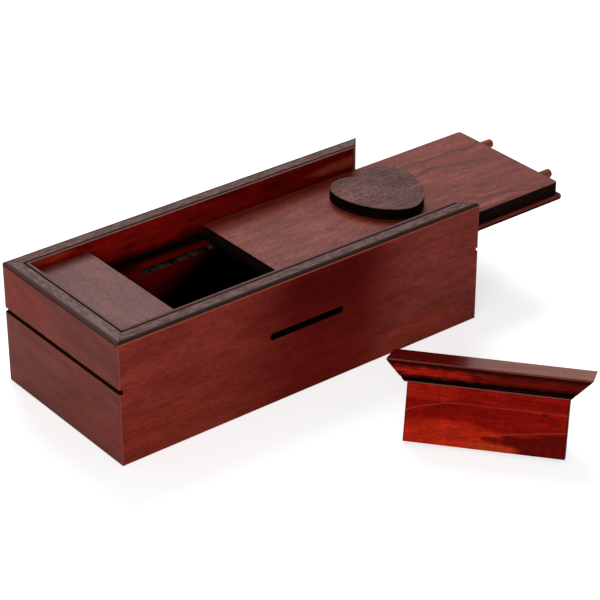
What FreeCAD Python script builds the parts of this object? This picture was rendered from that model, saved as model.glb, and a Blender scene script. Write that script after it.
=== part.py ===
import FreeCAD, Part
import os

Vector = FreeCAD.Vector

# Wooden puzzle box, in millimetres.
# The origin is the middle of the underside. +X runs along the box to the end where the lid
# slides out, +Y to the rear wall, +Z up. The lid is part way out and the end piece stands
# in front of the box.

along_x = Vector(1, 0, 0)
along_y = Vector(0, 1, 0)
along_z = Vector(0, 0, 1)

# Outside of the box
box_length = 180.0
box_width = 80.0
box_height = 54.5
wall = 8.0
rim_round = 1.5
edge_round = 0.8

# Thin groove in the rim, which leaves a narrow lip along the inner edge
rim_lip = 1.2
rim_groove_width = 0.8
rim_groove_depth = 0.8

# Floor panel, let into a rebate in the walls
floor_thickness = 4.0
floor_rebate = 4.0
floor_clearance = 0.2

# Cover plates at both ends, just below the rim
plate_drop = 4.4
plate_thickness = 5.0
plate_edge_round = 0.4
left_plate_overlap = 5.7
end_plate_overlap = 2.5
end_plate_clearance = 0.7

# Sliding lid: a board on a wider runner board
lid_board_thickness = 4.4
lid_runner_thickness = 2.6
lid_shuttle = 22.0
lid_open = 53.0
lid_plate_clearance = 0.8
lid_side_clearance = 0.6
lid_corner_round = 1.6
lid_edge_round = 0.3
runner_edge_round = 1.1
runner_round_limit = 0.45
groove_depth = 3.0
groove_side_clearance = 0.3
groove_height_clearance = 0.3

# Heart-shaped knob on the lid
heart_thickness = 5.0
heart_edge_slope = 0.2
heart_half_width = 18.9
heart_widest = 8.8
heart_notch = 16.7
heart_tip = 17.8
heart_lobe_start = 3.2
heart_lobe_rise = 5.4
heart_shoulder_rise = 15.7
heart_side_pull = 13.7
heart_tip_pull = 8.4
heart_offset = 1.5

# Two pins in the lid's right edge, let into both of its boards, and their holes in the end strip
pin_diameter = 4.0
pin_below_lid = 3.1
pin_spacing = 37.4
pin_embed = 16.0
pin_glue_gap = 0.05
pin_tip_round = 0.9
pin_hole_clearance = 0.3
pin_hole_skin = 1.2
pin_stand_off = 0.6

# Saw cut across both ends; the end piece parts from the box along the right one
kerf_below_lid = 3.2
kerf_height = 2.0
kerf_depth = 1.4

# Lap that keeps the end strip from being pulled straight off
lap_thickness = 3.5
lap_depth = 3.0
lap_clearance = 0.3
strip_clearance = 0.2

# Slots through the long walls
slot_below_lid = 6.5
slot_length = 36.4
slot_height = 2.6
front_slot_x = -0.6
rear_slot_x = -12.0
rear_slot_rise = 1.2

# Where the end piece stands: middle of its outer top edge, its turn and its lean
loose_x = 28.3
loose_ahead = 74.0
loose_turn = 39.35
loose_lean = 19.6

# Levels and widths that follow
half_length = box_length / 2
half_width = box_width / 2
inner_half_length = half_length - wall
inner_half_width = half_width - wall
plate_top = box_height - plate_drop
plate_bottom = plate_top - plate_thickness
lid_top = plate_bottom - lid_plate_clearance
lid_joint = lid_top - lid_board_thickness
lid_bottom = lid_joint - lid_runner_thickness
lid_length = 2 * inner_half_length - lid_shuttle
lid_right = half_length + lid_open
lid_left = lid_right - lid_length
lid_middle = (lid_left + lid_right) / 2
kerf_top = lid_bottom - kerf_below_lid
kerf_bottom = kerf_top - kerf_height
slot_middle = lid_bottom - slot_below_lid
pin_level = lid_top - pin_below_lid
pin_radius = pin_diameter / 2
pin_hole_depth = wall - pin_hole_skin
pin_reach = pin_hole_depth + pin_stand_off
left_plate_length = lid_shuttle + left_plate_overlap
end_plate_length = lid_shuttle + end_plate_overlap


def block(x_span, y_span, z_span):
    """Box between the two ends of each span."""
    sizes = [span[1] - span[0] for span in (x_span, y_span, z_span)]
    return Part.makeBox(*sizes, Vector(x_span[0], y_span[0], z_span[0]))


def prism(outline, bottom, top):
    """Upright solid over a plan outline."""
    corners = [Vector(x, y, bottom) for x, y in outline]
    face = Part.Face(Part.makePolygon(corners + corners[:1]))
    return face.extrude(Vector(0, 0, top - bottom))


def span(half, middle=0.0):
    """Range of one width about a middle."""
    return (middle - half, middle + half)


def runs_along(edge, axis):
    return abs(edge.tangentAt(edge.FirstParameter).dot(axis)) > 0.99


def at_level(edge, level):
    box = edge.BoundBox
    return abs(box.ZMin - level) < 1e-6 and abs(box.ZMax - level) < 1e-6


def outer_block():
    return block(span(half_length), span(half_width), (0, box_height))


def eased_block(axis, level, radius):
    """Block of the box's size, with its edges along one axis at one level rounded."""
    solid = outer_block()
    edges = [edge for edge in solid.Edges if runs_along(edge, axis) and at_level(edge, level)]
    return solid.makeFillet(radius, edges)


def outer_form():
    """Whole box outside, with the rim's outer edges rounded and the others eased."""
    solid = outer_block()
    form = solid.makeFillet(edge_round, [edge for edge in solid.Edges if runs_along(edge, along_z)])
    for axis in (along_x, along_y):
        form = form.common(eased_block(axis, 0, edge_round))
        form = form.common(eased_block(axis, box_height, rim_round))
    return form


def rim_groove():
    """Ring that is cut from the rim."""
    z_span = (box_height - rim_groove_depth, box_height)
    lip_half_length = inner_half_length + rim_lip
    lip_half_width = inner_half_width + rim_lip
    lip = block(span(lip_half_length), span(lip_half_width), z_span)
    ring = block(span(lip_half_length + rim_groove_width), span(lip_half_width + rim_groove_width), z_span)
    return ring.cut(lip)


def floor_recess(clearance=0.0):
    """Room for the floor panel in the walls."""
    return block(
        span(inner_half_length + floor_rebate - clearance),
        span(inner_half_width + floor_rebate - clearance),
        (0, floor_thickness),
    )


def end_kerf(side):
    """Saw cut across one end; side is -1 at the left and 1 at the right."""
    x_ends = sorted((side * half_length, side * (half_length - kerf_depth)))
    return block(x_ends, span(half_width), (kerf_bottom, kerf_top))


def lid_groove():
    """Room for the runner board in both long walls, open at the right end."""
    return block(
        (-inner_half_length, half_length),
        span(inner_half_width + groove_depth),
        (lid_bottom - groove_height_clearance, lid_joint + groove_height_clearance),
    )


def wall_slot(middle, level, side):
    """Slot with round ends through the long wall on one side."""
    radius = slot_height / 2
    straight = slot_length / 2 - radius
    y_ends = sorted((side * inner_half_width, side * half_width))
    cutter = block(span(straight, middle), y_ends, span(radius, level))
    for end in span(straight, middle):
        foot = Vector(end, y_ends[0], level)
        cutter = cutter.fuse(Part.makeCylinder(radius, wall, foot, along_y))
    return cutter


def long_wall(side, slot_x, slot_level):
    """Front (-1) or rear (1) wall with mitred ends, lid groove and slot."""
    outline = [
        (-half_length, side * half_width),
        (half_length, side * half_width),
        (inner_half_length, side * inner_half_width),
        (-inner_half_length, side * inner_half_width),
    ]
    board = prism(outline, 0, box_height).common(outer_form())
    cutters = [rim_groove(), floor_recess(), lid_groove(), end_kerf(-1), end_kerf(1)]
    return board.cut(cutters + [wall_slot(slot_x, slot_level, side)])


def end_outline(side, clearance=0.0):
    """Plan of a mitred end board."""
    return [
        (side * half_length, -half_width + clearance),
        (side * half_length, half_width - clearance),
        (side * inner_half_length, inner_half_width - clearance),
        (side * inner_half_length, -inner_half_width + clearance),
    ]


def left_end_wall():
    board = prism(end_outline(-1), 0, box_height).common(outer_form())
    return board.cut([rim_groove(), floor_recess(), end_kerf(-1)])


def lap(clearance=0.0):
    """Lap under the end strip, or its pocket when given a clearance."""
    return block(
        (inner_half_length, inner_half_length + lap_thickness + clearance),
        span(inner_half_width - lap_clearance + clearance),
        (kerf_bottom - lap_depth - clearance, kerf_bottom),
    )


def right_end_wall():
    """Low part of the right end, which the lid passes over."""
    board = prism(end_outline(1), 0, kerf_bottom).common(outer_form())
    return board.cut([floor_recess(), lap(lap_clearance)])


def floor_panel():
    return floor_recess(floor_clearance)


def cover_plate(x_span, half):
    """Plate below the rim, with its upper edges eased."""
    plate = block(x_span, span(half), (plate_bottom, plate_top))
    upper = [edge for edge in plate.Edges if at_level(edge, plate_top)]
    return plate.makeFillet(plate_edge_round, upper)


def left_cover_plate():
    x_span = (-inner_half_length, -inner_half_length + left_plate_length)
    return cover_plate(x_span, inner_half_width)


def end_plate():
    x_span = (inner_half_length - end_plate_length, inner_half_length)
    return cover_plate(x_span, inner_half_width - end_plate_clearance)


def rounded_board(half, bottom, top, eased_levels, ease):
    """Lid board with round corners in plan, and its edges at some levels eased."""
    board = block((lid_left, lid_right), span(half), (bottom, top))
    corners = [edge for edge in board.Edges if runs_along(edge, along_z)]
    board = board.makeFillet(lid_corner_round, corners)
    for level in eased_levels:
        board = board.makeFillet(ease, [edge for edge in board.Edges if at_level(edge, level)])
    return board


def pin_places():
    return {"front": -pin_spacing / 2, "rear": pin_spacing / 2}


def pin_rod(y, radius, start, reach):
    """Round rod along X at the pins' level."""
    return Part.makeCylinder(radius, reach, Vector(start, y, pin_level), along_x)


def pin_beds():
    """Room for the pins in the lid's two boards."""
    radius = pin_radius + pin_glue_gap
    inner_end = lid_right - pin_embed
    return [pin_rod(y, radius, inner_end, pin_embed) for y in pin_places().values()]


def lid_board():
    half = inner_half_width - lid_side_clearance
    return rounded_board(half, lid_joint, lid_top, [lid_top], lid_edge_round).cut(pin_beds())


def lid_runner_board():
    """Wider board under the lid, with round edges."""
    half = inner_half_width + groove_depth - groove_side_clearance
    ease = min(runner_edge_round, runner_round_limit * lid_runner_thickness)
    return rounded_board(half, lid_bottom, lid_joint, [lid_bottom, lid_joint], ease).cut(pin_beds())


def lid_pin(y):
    """Pin with a rounded tip, glued into the lid board."""
    rod = pin_rod(y, pin_radius, lid_right - pin_embed, pin_embed + pin_reach)
    tip = [edge for edge in rod.Edges if edge.BoundBox.XMin > lid_right]
    return rod.makeFillet(pin_tip_round, tip)


def heart_curve(points, level, size):
    middle = lid_middle + heart_offset
    curve = Part.BezierCurve()
    curve.setPoles([Vector(middle + size * x, size * y, level) for x, y in points])
    return curve.toShape()


def heart_outline(level, size=1.0):
    """Heart at one level, its lobes to the rear and its round tip to the front."""
    edges = []
    for side in (1, -1):
        lobe = [
            (0, heart_notch),
            (side * heart_lobe_start, heart_notch + heart_lobe_rise),
            (side * heart_half_width, heart_widest + heart_shoulder_rise),
            (side * heart_half_width, heart_widest),
        ]
        flank = [
            (side * heart_half_width, heart_widest),
            (side * heart_half_width, heart_widest - heart_side_pull),
            (side * heart_tip_pull, -heart_tip),
            (0, -heart_tip),
        ]
        edges += [heart_curve(lobe, level, size), heart_curve(flank, level, size)]
    return Part.Wire(Part.__sortEdges__(edges))


def lid_heart():
    """Heart-shaped knob with a narrow slope round its top."""
    heart_top = lid_top + heart_thickness
    outlines = [
        heart_outline(lid_top),
        heart_outline(heart_top - heart_edge_slope),
        heart_outline(heart_top, 1 - heart_edge_slope / heart_half_width),
    ]
    return Part.makeLoft(outlines, True, True)


def end_strip():
    """Upper part of the right end, with its lap and the holes for the pins."""
    strip = prism(end_outline(1, strip_clearance), kerf_bottom, box_height).common(outer_form())
    radius = pin_radius + pin_hole_clearance
    holes = [pin_rod(y, radius, inner_half_length, pin_hole_depth) for y in pin_places().values()]
    return strip.cut([rim_groove(), end_kerf(1)] + holes).fuse(lap()).removeSplitter()


def stand_loose(shape):
    """Moves a piece from its seat at the right end to where it stands in front of the box."""
    turn = FreeCAD.Rotation(along_z, loose_turn)
    lean = FreeCAD.Rotation(along_y, loose_lean - 90)
    rotation = turn.multiply(lean)
    top_edge = Vector(half_length, 0, box_height)
    lowest = Vector(inner_half_length - end_plate_length, 0, plate_bottom)
    rise = -rotation.multVec(lowest - top_edge).z
    place = Vector(loose_x, -half_width - loose_ahead, rise)
    moved = shape.copy()
    moved.Placement = FreeCAD.Placement(place - rotation.multVec(top_edge), rotation)
    return moved


parts = {
    "front_wall": long_wall(-1, front_slot_x, slot_middle),
    "rear_wall": long_wall(1, rear_slot_x, slot_middle + rear_slot_rise),
    "left_end_wall": left_end_wall(),
    "right_end_wall": right_end_wall(),
    "floor_panel": floor_panel(),
    "left_cover_plate": left_cover_plate(),
    "lid_board": lid_board(),
    "lid_runner_board": lid_runner_board(),
    "lid_heart": lid_heart(),
    "end_strip": stand_loose(end_strip()),
    "end_plate": stand_loose(end_plate()),
}
for end, y in pin_places().items():
    parts["lid_pin_" + end] = lid_pin(y)

os.makedirs("parts", exist_ok=True)
for name, shape in parts.items():
    box = shape.BoundBox
    print(name, shape.isValid(), len(shape.Solids), round(shape.Volume, 1), box)
    shape.exportStep("parts/" + name + ".step")
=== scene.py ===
import math

import bpy
from mathutils import Euler, Matrix, Vector


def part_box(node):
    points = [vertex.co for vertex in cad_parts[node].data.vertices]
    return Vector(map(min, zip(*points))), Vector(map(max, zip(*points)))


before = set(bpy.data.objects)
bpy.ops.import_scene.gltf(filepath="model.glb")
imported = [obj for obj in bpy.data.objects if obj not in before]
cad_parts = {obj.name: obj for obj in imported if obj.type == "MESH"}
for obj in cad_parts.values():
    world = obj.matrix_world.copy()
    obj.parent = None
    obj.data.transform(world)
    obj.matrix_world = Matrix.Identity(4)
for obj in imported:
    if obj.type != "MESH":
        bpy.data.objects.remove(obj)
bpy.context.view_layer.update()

# Looks of the wooden puzzle box. Lengths are in metres, and in millimetres where a name ends
# in _MM and throughout the wood. Colours are linear red, green and blue.

MM = 0.001

# Camera, fitted to the photograph
VIEW_AZIMUTH = math.radians(-38.36)
VIEW_ELEVATION = math.radians(30.0)
CAMERA_DISTANCE = 0.9555
CAMERA_LENS_MM = 139.0
SENSOR_WIDTH_MM = 36.0
AIM_RIGHT = 0.0215
AIM_UP = 0.0199

# Studio: a soft key lamp from behind on the right, a weaker fill from the front, a white room
FLOOR_SIZE = 6.0
FLOOR_COLOUR = (0.8, 0.8, 0.8)
FLOOR_GLOW = 0.65
WHITE = (1.0, 1.0, 1.0)
WORLD_STRENGTH = 0.27
LAMP_DISTANCE = 1.5
KEY_SIZE = 0.9
KEY_POWER = 16.0
KEY_AZIMUTH = math.radians(148.0)
KEY_ELEVATION = math.radians(48.0)
FILL_SIZE = 1.2
FILL_POWER = 9.5
FILL_AZIMUTH = math.radians(-45.0)
FILL_ELEVATION = math.radians(20.0)

# Sizes of the box, from its pieces
rear_low, rear_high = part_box("rear_wall")
low_end_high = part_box("right_end_wall")[1]
HALF_LENGTH_MM = low_end_high.x / MM
HALF_WIDTH_MM = rear_high.y / MM
HEIGHT_MM = rear_high.z / MM
WALL_MM = (rear_high.y - rear_low.y) / MM
KERF_BOTTOM_MM = low_end_high.z / MM
LID_BOTTOM_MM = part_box("lid_runner_board")[0].z / MM
LID_JOINT_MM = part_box("lid_board")[0].z / MM
LID_TOP_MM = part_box("lid_board")[1].z / MM
LID_RIGHT_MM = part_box("lid_board")[1].x / MM
INNER_LENGTH_MM = HALF_LENGTH_MM - WALL_MM
INNER_WIDTH_MM = HALF_WIDTH_MM - WALL_MM

# Cuts, rim and stand of the loose end piece, as they are built
KERF_HEIGHT_MM = 2.0
KERF_DEPTH_MM = 1.4
RIM_ROUND_MM = 1.5
RIM_LIP_MM = 1.2
RIM_GROOVE_MM = 0.8
LID_GROOVE_MM = 3.0
SLOT_LENGTH_MM = 36.4
SLOT_HEIGHT_MM = 2.6
SLOT_BELOW_LID_MM = 6.5
FRONT_SLOT_X_MM = -0.6
REAR_SLOT_X_MM = -12.0
REAR_SLOT_RISE_MM = 1.2
LOOSE_TURN = math.radians(39.35)
LOOSE_LEAN = math.radians(19.6)

# Marks in the wood: their size along the grain, across it and through it
FIGURE_MM = (55, 12, 12)
MOTTLE_MM = (15, 5, 5)
LONG_FIBRE_MM = (38, 1.7, 1.7)
SHORT_FIBRE_MM = (6, 0.8, 0.8)
SPECKLE_MM = (1.3, 0.9, 0.9)
PORE_MM = (3.2, 0.45, 0.45)
RIM_STREAK_MM = (3.0, 1.0, 1.0)
BLOTCH_MM = (26, 8, 5)
# Grey streaks of painted light in the rear slot
GLINT_STREAK_MM = (2.4, 4, 0.5)
FLAME_MM = (9, 1.4, 1.4)
PATCH_EDGE_MM = (16, 7, 7)

# Soft edge of a painted mark that follows a cut
SOFT_MM = 0.1

# Noise below the low value counts as fully dark, above the high one as fully light
NOISE_LOW = 0.28
NOISE_HIGH = 0.72
NOISE_MIDDLE = 0.5

# Relief and satin gloss of the grain, whose height starts in the middle
GRAIN_HEIGHT = 0.5
GRAIN_LOW = 0.2
GRAIN_HIGH = 0.8
RELIEF_MM = 0.06
RELIEF_STRENGTH = 0.6
GLOSS_SPREAD = 0.07

# Colours shared by several woods
CHAR = (0.0030, 0.0014, 0.0011)
CHAR_LAYER = (0.010, 0.003, 0.002)
SEAM = (0.020, 0.004, 0.003)
PORE = (0.014, 0.003, 0.002)
RIM_BROWN = (0.080, 0.038, 0.034)
# Pale streak colour of the rim flat, partly painted sheen
RIM_PALE_SHEEN = (0.180, 0.092, 0.086)
# Painted shade: the dark round-over and rear arris of the long walls, and the soft band beside the rim
# groove
RIM_SHADE = (0.032, 0.018, 0.015)
RIM_GROOVE = (0.055, 0.032, 0.027)
RIM_LIP = (0.120, 0.050, 0.042)
# Orange of the front's worn edges, partly wear and partly painted highlight
WORN_EDGE_HIGHLIGHT = (0.36, 0.070, 0.044)
END_GRAIN = (0.250, 0.080, 0.058)
KERF_BROWN = (0.030, 0.006, 0.004)

# Numbers of the mix node's colour sockets
MIX_FIRST = 6
MIX_SECOND = 7
MIX_RESULT = 2


def view_axes(azimuth, elevation):
    """Right, up and back directions of something that looks at the box from there."""
    level = math.cos(elevation)
    back = Vector((math.sin(azimuth) * level, -math.cos(azimuth) * level, math.sin(elevation)))
    right = Vector((math.cos(azimuth), math.sin(azimuth), 0))
    return right, back.cross(right), back


def add_object(name, data, place, axes):
    item = bpy.data.objects.new(name, data)
    bpy.context.scene.collection.objects.link(item)
    item.matrix_world = Matrix.Translation(place) @ Matrix(axes).transposed().to_4x4()
    return item


def make_camera():
    data = bpy.data.cameras.new("photo_camera")
    data.lens = CAMERA_LENS_MM
    data.sensor_width = SENSOR_WIDTH_MM
    right, up, back = view_axes(VIEW_AZIMUTH, VIEW_ELEVATION)
    place = right * AIM_RIGHT + up * AIM_UP + back * CAMERA_DISTANCE
    bpy.context.scene.camera = add_object("photo_camera", data, place, (right, up, back))


def make_lamp(name, size, power, azimuth, elevation):
    """Soft round lamp that looks at the box."""
    data = bpy.data.lights.new(name, "AREA")
    data.shape = "DISK"
    data.size = size
    data.energy = power
    axes = view_axes(azimuth, elevation)
    add_object(name, data, axes[2] * LAMP_DISTANCE, axes)


class Graph:
    """Adds nodes to a shader tree and joins them."""

    def __init__(self, tree):
        self.nodes = tree.nodes
        self.links = tree.links

    def put(self, socket, value):
        if isinstance(value, bpy.types.NodeSocket):
            self.links.new(value, socket)
        elif socket.type == "RGBA":
            socket.default_value = (*value, 1.0)
        else:
            socket.default_value = value

    def add(self, kind, inputs, **settings):
        node = self.nodes.new(kind)
        for name, value in settings.items():
            setattr(node, name, value)
        for key, value in inputs.items():
            self.put(node.inputs[key], value)
        return node

    def math(self, operation, *values):
        return self.add("ShaderNodeMath", dict(enumerate(values)), operation=operation).outputs[0]

    def vector(self, operation, *values):
        outputs = self.add("ShaderNodeVectorMath", dict(enumerate(values)), operation=operation).outputs
        return outputs["Value" if operation == "LENGTH" else "Vector"]

    def split(self, vector):
        return self.add("ShaderNodeSeparateXYZ", {0: vector}).outputs

    def join(self, x, y, z):
        return self.add("ShaderNodeCombineXYZ", {0: x, 1: y, 2: z}).outputs[0]

    def ramp(self, value, start, end, low=0.0, high=1.0):
        """Smooth change from low to high as the value goes from start to end."""
        inputs = {"Value": value, "From Min": start, "From Max": end, "To Min": low, "To Max": high}
        return self.add("ShaderNodeMapRange", inputs, interpolation_type="SMOOTHSTEP").outputs[0]

    def band(self, value, start, end, soft):
        """One between start and end, zero outside."""
        rise = self.ramp(value, start - soft, start + soft)
        fall = self.ramp(value, end + soft, end - soft)
        return self.math("MULTIPLY", rise, fall)

    def all_of(self, *masks):
        """Product of masks."""
        product = masks[0]
        for mask in masks[1:]:
            product = self.math("MULTIPLY", product, mask)
        return product

    def mix(self, factor, first, second):
        """First colour where the factor is zero, second where it is one."""
        inputs = {0: factor, MIX_FIRST: first, MIX_SECOND: second}
        return self.add("ShaderNodeMix", inputs, data_type="RGBA").outputs[MIX_RESULT]

    def noise(self, vector, size, detail=2.0, distortion=0.0):
        """Noise with features of a size along each axis."""
        inputs = {
            "Vector": self.vector("DIVIDE", vector, size),
            "Scale": 1.0,
            "Detail": detail,
            "Distortion": distortion,
        }
        return self.add("ShaderNodeTexNoise", inputs).outputs[0]

    def seen_ray(self):
        """One for the rays that show the background, straight or in a reflection."""
        ray = self.add("ShaderNodeLightPath", {}).outputs
        seen = self.math("MAXIMUM", ray["Is Camera Ray"], ray["Is Glossy Ray"])
        return self.math("MAXIMUM", seen, ray["Is Transmission Ray"])


def make_world():
    """Even light on the box, in a room that shows as white."""
    world = bpy.data.worlds.new("studio")
    world.use_nodes = True
    graph = Graph(world.node_tree)
    background = graph.nodes["Background"]
    graph.put(background.inputs["Color"], WHITE)
    graph.put(background.inputs["Strength"], graph.ramp(graph.seen_ray(), 0.0, 1.0, WORLD_STRENGTH, 1.0))
    bpy.context.scene.world = world


def make_floor():
    """Pale floor that reads as white and keeps the shadow."""
    half = FLOOR_SIZE / 2
    corners = [(-half, -half, 0), (half, -half, 0), (half, half, 0), (-half, half, 0)]
    mesh = bpy.data.meshes.new("floor")
    mesh.from_pydata(corners, [], [(0, 1, 2, 3)])
    floor = add_object("floor", mesh, Vector(), Matrix.Identity(3))
    material = bpy.data.materials.new("floor_paper")
    material.use_nodes = True
    graph = Graph(material.node_tree)
    shader = graph.nodes["Principled BSDF"]
    graph.put(shader.inputs["Base Color"], FLOOR_COLOUR)
    graph.put(shader.inputs["Roughness"], 1.0)
    graph.put(shader.inputs["Specular IOR Level"], 0.0)
    graph.put(shader.inputs["Emission Color"], WHITE)
    graph.put(shader.inputs["Emission Strength"], graph.math("MULTIPLY", graph.seen_ray(), FLOOR_GLOW))
    mesh.materials.append(material)


def seat_mapping():
    """Turn and shift that take the loose end piece back to its seat, in millimetres."""
    turn = Euler((0, 0, LOOSE_TURN)).to_matrix() @ Euler((0, LOOSE_LEAN - math.pi / 2, 0)).to_matrix()
    seat = Vector((HALF_LENGTH_MM, 0, HEIGHT_MM))
    corners = [turn.inverted() @ (corner.co / MM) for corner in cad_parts["end_strip"].data.vertices]
    outer = max(point.x for point in corners)
    top = max(point.z for point in corners)
    middle = (max(point.y for point in corners) + min(point.y for point in corners)) / 2
    return turn.inverted(), seat - Vector((outer, middle, top))


class Wood:
    """A stained wood, built on millimetre coordinates of the box with its end piece seated."""

    def __init__(self, name, grain_axis, loose=False):
        self.material = bpy.data.materials.new(name)
        self.material.use_nodes = True
        self.graph = Graph(self.material.node_tree)
        self.shader = self.graph.nodes["Principled BSDF"]
        g = self.graph
        coords = g.add("ShaderNodeTexCoord", {}).outputs
        place = g.vector("MULTIPLY", coords["Object"], (1 / MM,) * 3)
        normal = coords["Normal"]
        if loose:
            turn, shift = seat_mapping()
            mapping = {"Rotation": turn.to_euler(), "Location": shift}
            place = g.add("ShaderNodeMapping", {"Vector": place, **mapping}).outputs[0]
            normal = g.add("ShaderNodeMapping", {"Vector": normal, "Rotation": turn.to_euler()}).outputs[0]
        self.place = place
        self.x, self.y, self.z = g.split(place)
        self.facing_x, self.facing_y, self.facing_z = g.split(normal)
        self.across_x = g.math("ABSOLUTE", self.x)
        self.across_y = g.math("ABSOLUTE", self.y)
        self.grain = place if grain_axis == "X" else g.join(self.y, self.x, self.z)
        self.height = GRAIN_HEIGHT
        self.matt = 0.0

    def stain(self, deep, pale, figure=FIGURE_MM):
        """Two colours of one stain, mixed by a broad figure along the grain."""
        broad = self.graph.noise(self.grain, figure, detail=3.0, distortion=0.6)
        self.colour = self.graph.mix(self.graph.ramp(broad, NOISE_LOW, NOISE_HIGH), deep, pale)

    def tone(self, size, amount, detail=2.0):
        """Darker and lighter marks of one size."""
        marks = self.graph.noise(self.grain, size, detail)
        tone = self.graph.ramp(marks, NOISE_LOW, NOISE_HIGH, 1 - amount, 1 + amount)
        self.colour = self.graph.vector("MULTIPLY", self.colour, tone)
        self.height = self.graph.math("MULTIPLY", self.height, tone)

    def pores(self, amount):
        """Short dark pores along the grain."""
        marks = self.graph.noise(self.grain, PORE_MM, detail=1.0)
        mask = self.graph.ramp(marks, 0.60, 0.72, 0.0, amount)
        self.cover(mask, PORE)
        self.height = self.graph.math("SUBTRACT", self.height, mask)

    def cover(self, mask, colour, strength=1.0):
        """Lays a colour over the wood where the mask is one."""
        factor = self.graph.math("MULTIPLY", mask, strength)
        self.colour = self.graph.mix(factor, self.colour, colour)

    def burn(self, mask, colour):
        """Covers with a colour that is as matt as bare or burnt wood."""
        self.cover(mask, colour)
        self.matt = self.graph.math("MAXIMUM", self.matt, mask)

    def patch(self, plane, middle, reach, colour, strength=1.0, ragged=0.5, core=0.25, rim=1.1, within=()):
        """Covers a soft uneven patch about a middle on the two coordinates of a plane.

        The patch is full up to its core and gone at its rim, as squared shares of its reach.
        """
        g = self.graph
        shares = []
        for value, centre, radius in zip(plane, middle, reach):
            offset = g.math("DIVIDE", g.math("SUBTRACT", value, centre), radius)
            shares.append(g.math("MULTIPLY", offset, offset))
        edge = g.math("SUBTRACT", g.noise(self.grain, PATCH_EDGE_MM, detail=3.0), NOISE_MIDDLE)
        spread = g.math("MULTIPLY_ADD", edge, 2 * ragged, g.math("ADD", *shares))
        self.cover(g.all_of(g.ramp(spread, rim, core), *within), colour, strength)

    def wander(self, along, size, sway, seed):
        """Smooth wandering along one coordinate."""
        g = self.graph
        wave = g.noise(g.join(along, seed, 0.0), (size, 1, 1))
        return g.math("MULTIPLY", g.math("SUBTRACT", wave, NOISE_MIDDLE), 2 * sway)

    def finish(self, roughness, specular):
        """Joins colour, gloss and relief to the shader."""
        g = self.graph
        rough = roughness + GLOSS_SPREAD
        smooth = roughness - GLOSS_SPREAD
        satin = g.ramp(self.height, GRAIN_LOW, GRAIN_HIGH, rough, smooth)
        g.put(self.shader.inputs["Base Color"], self.colour)
        g.put(self.shader.inputs["Roughness"], g.math("MAXIMUM", satin, self.matt))
        g.put(self.shader.inputs["Specular IOR Level"], specular)
        relief = {"Strength": RELIEF_STRENGTH, "Distance": RELIEF_MM * MM, "Height": self.height}
        g.put(self.shader.inputs["Normal"], g.add("ShaderNodeBump", relief).outputs[0])
        return self.material


def add_texture(wood, fibre=0.10, speckle=0.10, mottle=0.14, pores=0.35):
    """Marks that all the woods share."""
    wood.tone(MOTTLE_MM, mottle, detail=3.0)
    wood.tone(LONG_FIBRE_MM, fibre)
    wood.tone(SHORT_FIBRE_MM, fibre)
    wood.tone(SPECKLE_MM, speckle)
    wood.pores(pores)


def add_rim(wood, arris, roll):
    """Top edge of the walls: outer arris and round-over in the colours given, a flat whose pale streaks
    are partly painted sheen, a dark groove with painted shade beside it, and a lip.
    """
    g = wood.graph
    roll_width = 0.7
    rim_groove_shade_width = 0.8
    groove_soft = 0.15
    lip_soft = 0.4
    round_start = HEIGHT_MM - RIM_ROUND_MM
    flat_end = WALL_MM - RIM_ROUND_MM
    groove_start = RIM_LIP_MM - SOFT_MM
    groove_end = RIM_LIP_MM + RIM_GROOVE_MM
    top = g.ramp(wood.z, round_start - 2 * SOFT_MM, round_start)
    from_end = g.math("SUBTRACT", wood.across_x, INNER_LENGTH_MM)
    from_side = g.math("SUBTRACT", wood.across_y, INNER_WIDTH_MM)
    outward = g.math("MAXIMUM", from_end, from_side)
    upward = g.ramp(wood.facing_z, 0.35, 0.45)
    slanting = g.band(wood.facing_z, 0.08, 0.38, soft=0.05)
    streaks = g.ramp(g.noise(wood.grain, RIM_STREAK_MM, detail=4.0), 0.36, 0.64)
    # Pale streaks of the flat are partly painted sheen
    flat = g.mix(streaks, RIM_BROWN, RIM_PALE_SHEEN)
    rolled = g.ramp(outward, flat_end - roll_width, flat_end + SOFT_MM)
    # Round-over in the roll colour given; on the long walls it is painted shade
    wood.cover(g.all_of(top, upward), g.mix(rolled, flat, roll))
    wood.cover(g.all_of(top, slanting), arris)
    # Painted shade: a soft dark band beside the groove
    rim_groove_shade = g.band(outward, RIM_LIP_MM, groove_end, soft=rim_groove_shade_width)
    wood.cover(g.all_of(top, rim_groove_shade, upward), RIM_SHADE, strength=0.6)
    groove = g.band(outward, groove_start, groove_end + SOFT_MM, soft=groove_soft)
    wood.burn(g.all_of(top, groove), RIM_GROOVE)
    lip = g.ramp(outward, groove_start, groove_start - lip_soft)
    wood.cover(g.all_of(top, lip, upward), RIM_LIP)


def add_kerf(wood):
    """Charred saw cut across the ends."""
    g = wood.graph
    margin = SOFT_MM / 2
    kerf_back = HALF_LENGTH_MM - KERF_DEPTH_MM
    kerf_top = KERF_BOTTOM_MM + KERF_HEIGHT_MM
    deep = g.ramp(wood.across_x, kerf_back - SOFT_MM, kerf_back)
    level = g.band(wood.z, KERF_BOTTOM_MM - margin, kerf_top + margin, soft=margin)
    ledge = g.ramp(wood.facing_z, 0.5, 0.8)
    wood.burn(g.all_of(deep, level), g.mix(ledge, CHAR, KERF_BROWN))


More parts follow.
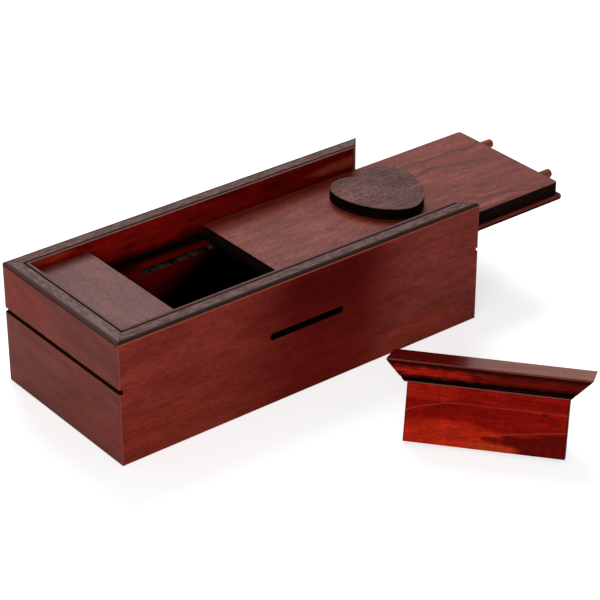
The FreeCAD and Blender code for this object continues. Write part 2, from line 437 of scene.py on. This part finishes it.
def add_lid_groove(wood):
    """Groove in which the lid's runner slides, its inside painted black partly as char and partly as
    painted shade, with painted shade on the wall along its edges.
    """
    g = wood.graph
    room_below = 0.5
    room_above = 0.4
    room_behind = 0.3
    lid_groove_shade_reach = 4.2
    lid_groove_shade_core = 1.5
    skin = 2 * SOFT_MM
    groove_middle = (LID_BOTTOM_MM + LID_JOINT_MM) / 2
    groove_back = INNER_WIDTH_MM + LID_GROOVE_MM
    face = g.band(wood.across_y, INNER_WIDTH_MM - skin, INNER_WIDTH_MM + skin, soft=SOFT_MM)
    from_groove = g.math("ABSOLUTE", g.math("SUBTRACT", wood.z, groove_middle))
    lid_groove_shade = g.ramp(from_groove, lid_groove_shade_reach, lid_groove_shade_core)
    # Painted shade on the wall face beside the groove
    wood.cover(g.all_of(face, lid_groove_shade), CHAR_LAYER, strength=0.85)
    deep = g.band(wood.across_y, INNER_WIDTH_MM + SOFT_MM, groove_back + room_behind, soft=SOFT_MM)
    level = g.band(wood.z, LID_BOTTOM_MM - room_below, LID_JOINT_MM + room_above, soft=SOFT_MM)
    wood.burn(g.all_of(deep, level), CHAR_LAYER)


def add_slot(wood, side, middle, rise, colour):
    """Burnt slot through a long wall."""
    g = wood.graph
    burnt_edge = 0.4
    level = LID_BOTTOM_MM - SLOT_BELOW_LID_MM + rise
    radius = SLOT_HEIGHT_MM / 2
    straight = SLOT_LENGTH_MM / 2 - radius
    from_middle = g.math("ABSOLUTE", g.math("SUBTRACT", wood.x, middle))
    past_straight = g.math("MAXIMUM", g.math("SUBTRACT", from_middle, straight), 0.0)
    reach = g.vector("LENGTH", g.join(past_straight, 0.0, g.math("SUBTRACT", wood.z, level)))
    wall_side = g.ramp(g.math("MULTIPLY", wood.y, side), INNER_WIDTH_MM, INNER_WIDTH_MM + SOFT_MM)
    burnt = g.ramp(reach, radius + burnt_edge, radius + SOFT_MM)
    wood.burn(g.all_of(wall_side, burnt), colour)


def add_mitre(wood):
    """Dark glue line where the walls meet, and end grain on the open mitres."""
    g = wood.graph
    glue_width = 0.35
    from_end = g.math("SUBTRACT", HALF_LENGTH_MM, wood.across_x)
    from_side = g.math("SUBTRACT", HALF_WIDTH_MM, wood.across_y)
    apart = g.math("ABSOLUTE", g.math("SUBTRACT", from_end, from_side))
    wood.cover(g.ramp(apart, glue_width, SOFT_MM), SEAM, strength=0.6)
    endways = g.ramp(g.math("ABSOLUTE", wood.facing_x), 0.5, 0.6)
    sideways = g.ramp(g.math("ABSOLUTE", wood.facing_y), 0.5, 0.6)
    upright = g.ramp(wood.facing_z, 0.3, 0.1)
    wood.burn(g.all_of(endways, sideways, upright), END_GRAIN)


def add_inside(wood):
    """Painted shade in the compartment below the lid: black, deepening downward and towards the right."""
    g = wood.graph
    slant = 0.6
    skin = 3 * SOFT_MM
    depth = g.math("SUBTRACT", LID_BOTTOM_MM, wood.z)
    between_ends = g.ramp(wood.across_x, INNER_LENGTH_MM + skin, INNER_LENGTH_MM + SOFT_MM)
    between_sides = g.ramp(wood.across_y, INNER_WIDTH_MM + skin, INNER_WIDTH_MM + SOFT_MM)
    below_lid = g.ramp(depth, 3, 8)
    shaded = g.ramp(g.math("MULTIPLY_ADD", wood.x, slant, depth), -2, 14)
    # The black laid here is painted shade
    wood.cover(g.all_of(between_ends, between_sides, below_lid, shaded), CHAR)


def paint_wall_inside(wood, inside, rear):
    """Deep red stain inside the box, with painted shade darkening it to the right, dark blotches, a
    painted reflection of the lid above it and a painted highlight below the rear rim.
    """
    g = wood.graph
    left_red = (0.290, 0.0060, 0.0022)
    # Right end colour: painted shade
    right_red = (0.115, 0.0010, 0.0006)
    blotch_red = (0.040, 0.0006, 0.0004)
    lid_reflection_brown = (0.230, 0.034, 0.015)
    rim_highlight_red = (0.300, 0.022, 0.009)
    lid_reflection_middle = (78, LID_TOP_MM + 4.2)
    rim_highlight_middle = (-74, HEIGHT_MM - 1.5)
    plane = (wood.x, wood.z)
    rear_face = (inside, rear)
    shade_rightward = g.ramp(wood.x, -60, 50)
    # Painted shade: darker towards the right
    wood.cover(inside, g.mix(shade_rightward, left_red, right_red), strength=0.95)
    blotches = g.ramp(g.noise(wood.grain, BLOTCH_MM, detail=3.0), 0.46, 0.68)
    wood.cover(g.all_of(inside, blotches), blotch_red, strength=0.75)
    # Painted reflection of the lid's top in the rear wall
    wood.patch(plane, lid_reflection_middle, reach=(24, 3.0), colour=lid_reflection_brown, ragged=0.3, within=rear_face)
    # Painted highlight below the rear rim at the left
    wood.patch(plane, rim_highlight_middle, reach=(16, 1.6), colour=rim_highlight_red, ragged=0.3, within=rear_face)


def paint_wall_front(wood, front):
    """Uneven front: a painted dark reflection in the middle, painted sheen to the right, redder at the
    bottom left and a painted highlight at the bottom right.
    """
    g = wood.graph
    reflection_dark_low = (0.140, 0.0060, 0.0030)
    reflection_dark_high = (0.080, 0.0005, 0.0003)
    left_red = (0.25, 0.030, 0.017)
    right_sheen_brown = (0.228, 0.041, 0.031)
    right_red = (0.310, 0.038, 0.021)
    left_bottom = (-68, 9)
    right_highlight_middle = (58, 5)
    slant = -0.1
    plane = (wood.x, wood.z)
    front_face = (front,)
    slanting = g.math("MULTIPLY_ADD", wood.z, slant, wood.x)
    uneven = g.math("ADD", slanting, wood.wander(wood.z, size=14, sway=4, seed=2.0))
    # Painted dark reflection: the middle of the front without its sheen
    dark = g.all_of(front, g.ramp(uneven, -52, -2), g.ramp(uneven, 60, 18))
    upward = g.ramp(wood.z, 12, 46)
    wood.cover(dark, g.mix(upward, reflection_dark_low, reflection_dark_high), strength=0.95)
    wood.patch(plane, left_bottom, reach=(30, 13), colour=left_red, ragged=0.9, within=front_face)
    # Painted sheen on the right part
    wood.cover(g.all_of(front, g.ramp(uneven, 24, 60)), right_sheen_brown, strength=0.7)
    # Painted highlight along the bottom at the right
    wood.patch(plane, right_highlight_middle, (30, 10), right_red, strength=0.6, ragged=0.8, within=front_face)


def char_with_painted_glint(wood):
    """Burnt wood with grey streaks of painted light on the rear slot's floor, in the part of the rear wall
    that is next to the inside.
    """
    g = wood.graph
    grey = (0.090, 0.076, 0.070)
    # Grey streaks: painted light on the slot's floor
    glint_streaks = g.ramp(g.noise(wood.place, GLINT_STREAK_MM, detail=3.0), 0.42, 0.62)
    near_inside = g.ramp(wood.y, INNER_WIDTH_MM + 4, INNER_WIDTH_MM + 3)
    return g.mix(g.all_of(glint_streaks, near_inside), CHAR, grey)


def wall_wood():
    """Long walls, with a stain of their own inside, and on the outside of the front one a painted dark
    reflection, painted sheen, a painted highlight and a redder stain.
    """
    wood = Wood("wall_wood", "X")
    g = wood.graph
    skin_start = HALF_WIDTH_MM - 3
    skin_end = HALF_WIDTH_MM - 2.5
    outside = g.ramp(wood.across_y, skin_start, skin_end)
    inside = g.ramp(wood.across_y, skin_end, skin_start)
    rear = g.ramp(wood.y, -1, 1)
    front = g.all_of(outside, g.ramp(wood.y, 1, -1))
    # Outside colours: their grey-pink lightness is partly painted sheen
    wood.stain(deep=(0.202, 0.023, 0.016), pale=(0.267, 0.037, 0.024))
    paint_wall_inside(wood, inside, rear)
    paint_wall_front(wood, front)
    add_texture(wood)
    # Front's right edge: wear with a painted highlight
    right_edge = g.ramp(wood.x, HALF_LENGTH_MM - 0.7, HALF_LENGTH_MM - 0.3)
    wood.cover(g.all_of(front, right_edge), WORN_EDGE_HIGHLIGHT, strength=0.7)
    add_rim(wood, arris=g.mix(rear, WORN_EDGE_HIGHLIGHT, RIM_SHADE), roll=RIM_SHADE)
    add_kerf(wood)
    add_lid_groove(wood)
    add_slot(wood, side=-1, middle=FRONT_SLOT_X_MM, rise=0, colour=CHAR)
    add_slot(wood, side=1, middle=REAR_SLOT_X_MM, rise=REAR_SLOT_RISE_MM, colour=char_with_painted_glint(wood))
    add_inside(wood)
    add_mitre(wood)
    return wood.finish(roughness=0.38, specular=0.02)


def end_wood():
    """End walls, with two redder patches, a stain whose grey is partly painted sheen, and a dark arris of
    painted shade.
    """
    wood = Wood("end_wood", "Y")
    upper_red = (0.235, 0.026, 0.014)
    lower_red = (0.220, 0.032, 0.021)
    plane = (wood.y, wood.z)
    # The greyish tone of this stain is partly painted sheen
    wood.stain(deep=(0.150, 0.028, 0.021), pale=(0.196, 0.032, 0.022))
    wood.patch(plane, middle=(26, 44), reach=(20, 10), colour=upper_red, strength=0.7, ragged=0.8)
    wood.patch(plane, middle=(-26, 10), reach=(20, 12), colour=lower_red, strength=0.5, ragged=0.8)
    add_texture(wood, fibre=0.05, pores=0.2)
    # Dark outer arris: painted shade
    add_rim(wood, arris=SEAM, roll=RIM_BROWN)
    add_kerf(wood)
    add_inside(wood)
    add_mitre(wood)
    return wood.finish(roughness=0.38, specular=0.04)


def floor_painted_shade():
    """Bottom of the compartment, painted nearly black as shade."""
    wood = Wood("floor_painted_shade", "X")
    wood.stain(deep=(0.006, 0.0015, 0.001), pale=(0.010, 0.002, 0.0015))
    add_texture(wood)
    return wood.finish(roughness=0.6, specular=0.03)


def plate_wood():
    """Brown cover plate at the left end, its pink-grey partly painted sheen."""
    wood = Wood("plate_wood", "Y")
    # Pink-grey of this stain is partly painted sheen
    wood.stain(deep=(0.138, 0.043, 0.038), pale=(0.172, 0.058, 0.052))
    add_texture(wood, fibre=0.05, speckle=0.16, mottle=0.08, pores=0.25)
    return wood.finish(roughness=0.42, specular=0.07)


def char_sides(wood, layer_thickness):
    """Burnt edges left by the cutter, with faint layers."""
    g = wood.graph
    side = g.ramp(wood.facing_z, 0.7, 0.4)
    layers = g.noise(g.join(0.0, 0.0, wood.z), (1, 1, layer_thickness), detail=0.0)
    wood.burn(side, g.mix(g.ramp(layers, 0.45, 0.6), CHAR, CHAR_LAYER))


def add_rings(wood):
    """Wavy growth rings, clearer towards the lid's right end."""
    g = wood.graph
    dark_ring = (0.070, 0.008, 0.005)
    pale_ring = (0.265, 0.050, 0.032)
    sway_size = (40, 22, 22)
    sway_width = 30.0
    ring_size = (160, 4, 1)
    sway = g.math("MULTIPLY", g.noise(wood.grain, sway_size), sway_width)
    rings = g.noise(g.join(wood.x, g.math("ADD", wood.y, sway), 0.0), ring_size, detail=1.0)
    figured = g.ramp(wood.x, 60, 95, 0.3, 1.0)
    wood.cover(g.all_of(figured, g.ramp(rings, 0.50, 0.62)), dark_ring, strength=0.9)
    wood.cover(g.all_of(figured, g.ramp(rings, 0.44, 0.32)), pale_ring, strength=0.7)


def lid_wood():
    """Upper board of the lid, with rings, a grey right edge, a red front edge and burnt sides."""
    wood = Wood("lid_wood", "X")
    g = wood.graph
    end_shade = (0.145, 0.020, 0.012)
    right_edge_grey = (0.045, 0.030, 0.028)
    front_edge_red = (0.120, 0.014, 0.007)
    plane = (wood.x, wood.y)
    wood.stain(deep=(0.158, 0.018, 0.009), pale=(0.196, 0.029, 0.016), figure=(40, 18, 18))
    add_rings(wood)
    wood.patch(plane, middle=(140, -14), reach=(26, 30), colour=end_shade, strength=0.6, ragged=0.6)
    add_texture(wood, fibre=0.07, speckle=0.26, mottle=0.20)
    wood.cover(g.ramp(wood.x, LID_RIGHT_MM - 0.9, LID_RIGHT_MM - 0.4), right_edge_grey)
    wood.cover(g.ramp(wood.facing_y, -0.2, -0.5), front_edge_red)
    char_sides(wood, layer_thickness=0.7)
    return wood.finish(roughness=0.42, specular=0.08)


def runner_wood():
    """Lower board of the lid: painted highlight on the slopes, painted shade on the ledge, dark lower side
    and underside, burnt left end, and a grey right edge of painted highlight.
    """
    wood = Wood("runner_wood", "X")
    g = wood.graph
    slope_highlight_red = (0.230, 0.045, 0.025)
    ledge_shade = (0.025, 0.003, 0.002)
    right_edge_grey = (0.060, 0.042, 0.040)
    wood.stain(deep=(0.090, 0.010, 0.007), pale=(0.170, 0.024, 0.016), figure=(14, 4, 4))
    add_texture(wood)
    # Painted highlight on the upper slopes of the rounding
    wood.cover(g.band(wood.facing_z, 0.45, 0.75, soft=0.12), slope_highlight_red, strength=0.6)
    # Painted shade on the ledge under the upper board
    wood.cover(g.ramp(wood.facing_z, 0.85, 0.98), ledge_shade)
    wood.burn(g.ramp(wood.facing_z, 0.25, -0.1), CHAR_LAYER)
    wood.burn(g.ramp(wood.facing_x, -0.4, -0.7), CHAR)
    # Painted highlight on the right end
    wood.cover(g.ramp(wood.facing_x, 0.4, 0.7), right_edge_grey)
    return wood.finish(roughness=0.32, specular=0.04)


def heart_wood():
    """Knob, its grey-pink partly painted sheen, with a dark and a pale lobe and burnt sides."""
    wood = Wood("heart_wood", "X")
    right_lobe = (0.105, 0.048, 0.043)
    left_lobe = (0.170, 0.074, 0.068)
    plane = (wood.x, wood.y)
    # Grey-pink of this stain is partly painted sheen
    wood.stain(deep=(0.105, 0.049, 0.044), pale=(0.160, 0.076, 0.069), figure=(26, 12, 12))
    wood.patch(plane, middle=(84, 10), reach=(14, 14), colour=right_lobe, strength=0.6, ragged=0.6)
    wood.patch(plane, middle=(62, 4), reach=(13, 12), colour=left_lobe, strength=0.7, ragged=0.6)
    add_texture(wood, fibre=0.10, speckle=0.32, mottle=0.18, pores=0.6)
    char_sides(wood, layer_thickness=0.9)
    return wood.finish(roughness=0.42, specular=0.02)


def pin_wood():
    """Pins, the rear one more orange, with brown tips."""
    wood = Wood("pin_wood", "X")
    g = wood.graph
    rear_orange = (0.40, 0.080, 0.036)
    tip_brown = (0.070, 0.036, 0.030)
    wood.stain(deep=(0.17, 0.048, 0.032), pale=(0.28, 0.064, 0.039), figure=(12, 3, 3))
    wood.cover(g.ramp(wood.y, -5, 5), rear_orange, strength=0.7)
    add_texture(wood)
    wood.cover(g.ramp(wood.facing_x, 0.3, 0.8), tip_brown, strength=0.6)
    return wood.finish(roughness=0.45, specular=0.05)


def strip_wood():
    """Strip of the loose end piece: outer face with painted sheen towards the front and a painted dark
    reflection towards the rear, top with flame-like streaks, painted shade near the outer edge, a black
    band of painted shade, and painted highlights on the inner edge and the rear arris.
    """
    wood = Wood("strip_wood", "Y", loose=True)
    g = wood.graph
    front_outer_sheen = (0.205, 0.044, 0.025)
    rear_outer_dark_reflection = (0.060, 0.0020, 0.0012)
    front_flame = (0.140, 0.004, 0.0020)
    rear_flame = (0.44, 0.012, 0.005)
    flame_dark = (0.085, 0.002, 0.001)
    outer_shade = (0.030, 0.002, 0.001)
    inner_highlight = (0.200, 0.060, 0.045)
    front_arris = (0.060, 0.012, 0.008)
    rear_arris_highlight = (0.180, 0.040, 0.030)
    wood.stain(deep=(0.130, 0.006, 0.003), pale=(0.200, 0.014, 0.008))
    rear_half = g.ramp(wood.y, -6, 18)
    outer = g.ramp(wood.facing_x, 0.6, 0.8)
    # Painted sheen towards the front, painted dark reflection towards the rear
    wood.cover(outer, g.mix(rear_half, front_outer_sheen, rear_outer_dark_reflection))
    add_texture(wood)
    top = g.ramp(wood.facing_z, 0.6, 0.8)
    flame = g.ramp(g.noise(wood.grain, FLAME_MM, detail=3.0), 0.34, 0.60)
    wood.cover(top, g.mix(flame, flame_dark, g.mix(rear_half, front_flame, rear_flame)))
    ragged = g.math("ADD", wood.x, wood.wander(wood.y, size=4.5, sway=1.2, seed=3.0))
    from_outer = g.math("SUBTRACT", HALF_LENGTH_MM, ragged)
    wood.cover(g.all_of(top, g.ramp(from_outer, 2.8, 1.2)), outer_shade)
    # Black band along the groove: painted shade
    wood.burn(g.all_of(top, g.ramp(from_outer, 4.0, 6.2)), CHAR)
    inner_edge = g.ramp(wood.x, INNER_LENGTH_MM + 0.5, INNER_LENGTH_MM + 0.3)
    # Painted highlight along the inner edge
    wood.cover(g.all_of(top, inner_edge), inner_highlight)
    outer_edge = g.ramp(wood.x, HALF_LENGTH_MM - 3, HALF_LENGTH_MM - 2)
    slanting = g.band(wood.facing_z, 0.08, 0.45, soft=0.05)
    # Arris: painted highlight towards the rear
    wood.cover(g.all_of(slanting, outer_edge), g.mix(rear_half, front_arris, rear_arris_highlight))
    add_kerf(wood)
    return wood.finish(roughness=0.26, specular=0.008)


def bright_wood():
    """Plate of the loose end piece: bright stain whose orange patches and darker part below the lower
    grain line are partly painted light and shade, two grain lines, dark blots and a pair of knots.
    """
    wood = Wood("bright_wood", "Y", loose=True)
    g = wood.graph
    low_orange = (0.48, 0.019, 0.004)
    high_orange = (0.40, 0.012, 0.003)
    edge_orange = (0.50, 0.042, 0.010)
    shade_red = (0.090, 0.0018, 0.0008)
    blot_red = (0.095, 0.002, 0.001)
    knot_brown = (0.060, 0.002, 0.001)
    upper_line_orange = (0.46, 0.060, 0.022)
    lower_line_orange = (0.44, 0.055, 0.020)
    upper_level = 74.8
    upper_bend = -0.0088
    bend_start = 8.0
    lower_level = 63.6
    lower_slope = -0.14
    line_width = 0.2
    blots = (((-2, 62.2), (4.5, 1.0)), ((-10, 63.2), (4, 1.5)))
    knots = ((-22.6, 74.0), (-21.2, 71.7))
    knot_reach = (1.5, 1.0)
    cross_grain = (2.4, 12, 12)
    plane = (wood.y, wood.x)
    wood.stain(deep=(0.205, 0.0018, 0.0006), pale=(0.310, 0.0055, 0.0014), figure=(45, 9, 9))
    # Orange patches: the wood's figure with painted light
    wood.patch(plane, middle=(16, 60), reach=(26, 8), colour=low_orange, ragged=0.8)
    wood.patch(plane, middle=(23, 78), reach=(14, 4.5), colour=high_orange, strength=0.8, ragged=0.8)
    bend = g.math("MAXIMUM", g.math("SUBTRACT", wood.y, bend_start), 0.0)
    upper_line = g.math("MULTIPLY_ADD", g.math("MULTIPLY", bend, bend), upper_bend, upper_level)
    lower_line = g.math("MULTIPLY_ADD", wood.y, lower_slope, lower_level)
    waver = g.math("ADD", wood.x, wood.wander(wood.y, size=9, sway=0.7, seed=5.0))
    from_upper = g.math("SUBTRACT", waver, upper_line)
    from_lower = g.math("SUBTRACT", waver, lower_line)
    below_line = g.all_of(g.ramp(from_lower, -0.4, -2.4), g.ramp(wood.y, 6, -10))
    wood.cover(below_line, shade_red, strength=0.8)
    wood.patch(plane, middle=(-2, 58.4), reach=(12, 2.6), colour=edge_orange, ragged=0.6)
    for middle, reach in blots:
        wood.patch(plane, middle, reach, blot_red, strength=0.9, core=0.2, rim=1.3)
    add_texture(wood, fibre=0.12, speckle=0.16, mottle=0.18, pores=0.3)
    wood.tone(cross_grain, amount=0.08)
    on_upper = g.band(from_upper, -line_width, line_width, soft=0.3)
    wood.cover(on_upper, upper_line_orange, strength=0.4)
    on_lower = g.band(from_lower, -line_width, line_width, soft=0.2)
    wood.cover(g.all_of(on_lower, g.ramp(wood.y, 4, -4)), lower_line_orange, strength=0.5)
    for middle in knots:
        wood.patch(plane, middle, knot_reach, knot_brown, strength=0.6, ragged=0.4, core=0.0, rim=1.5)
    side_edge = g.ramp(wood.across_y, INNER_WIDTH_MM - 1.4, INNER_WIDTH_MM - 0.9)
    wood.cover(side_edge, SEAM, strength=0.8)
    return wood.finish(roughness=0.4, specular=0.015)


def dress(material, *nodes):
    """Gives the named pieces a material."""
    for node in nodes:
        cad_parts[node].material_slots[0].material = material


make_camera()
make_lamp("key_light", KEY_SIZE, KEY_POWER, KEY_AZIMUTH, KEY_ELEVATION)
make_lamp("fill_light", FILL_SIZE, FILL_POWER, FILL_AZIMUTH, FILL_ELEVATION)
make_world()
make_floor()

dress(wall_wood(), "front_wall", "rear_wall")
dress(end_wood(), "left_end_wall", "right_end_wall")
dress(floor_painted_shade(), "floor_panel")
dress(plate_wood(), "left_cover_plate")
dress(lid_wood(), "lid_board")
dress(runner_wood(), "lid_runner_board")
dress(heart_wood(), "lid_heart")
dress(pin_wood(), "lid_pin_front", "lid_pin_rear")
dress(strip_wood(), "end_strip")
dress(bright_wood(), "end_plate")

bpy.context.scene.view_settings.view_transform = "Standard"
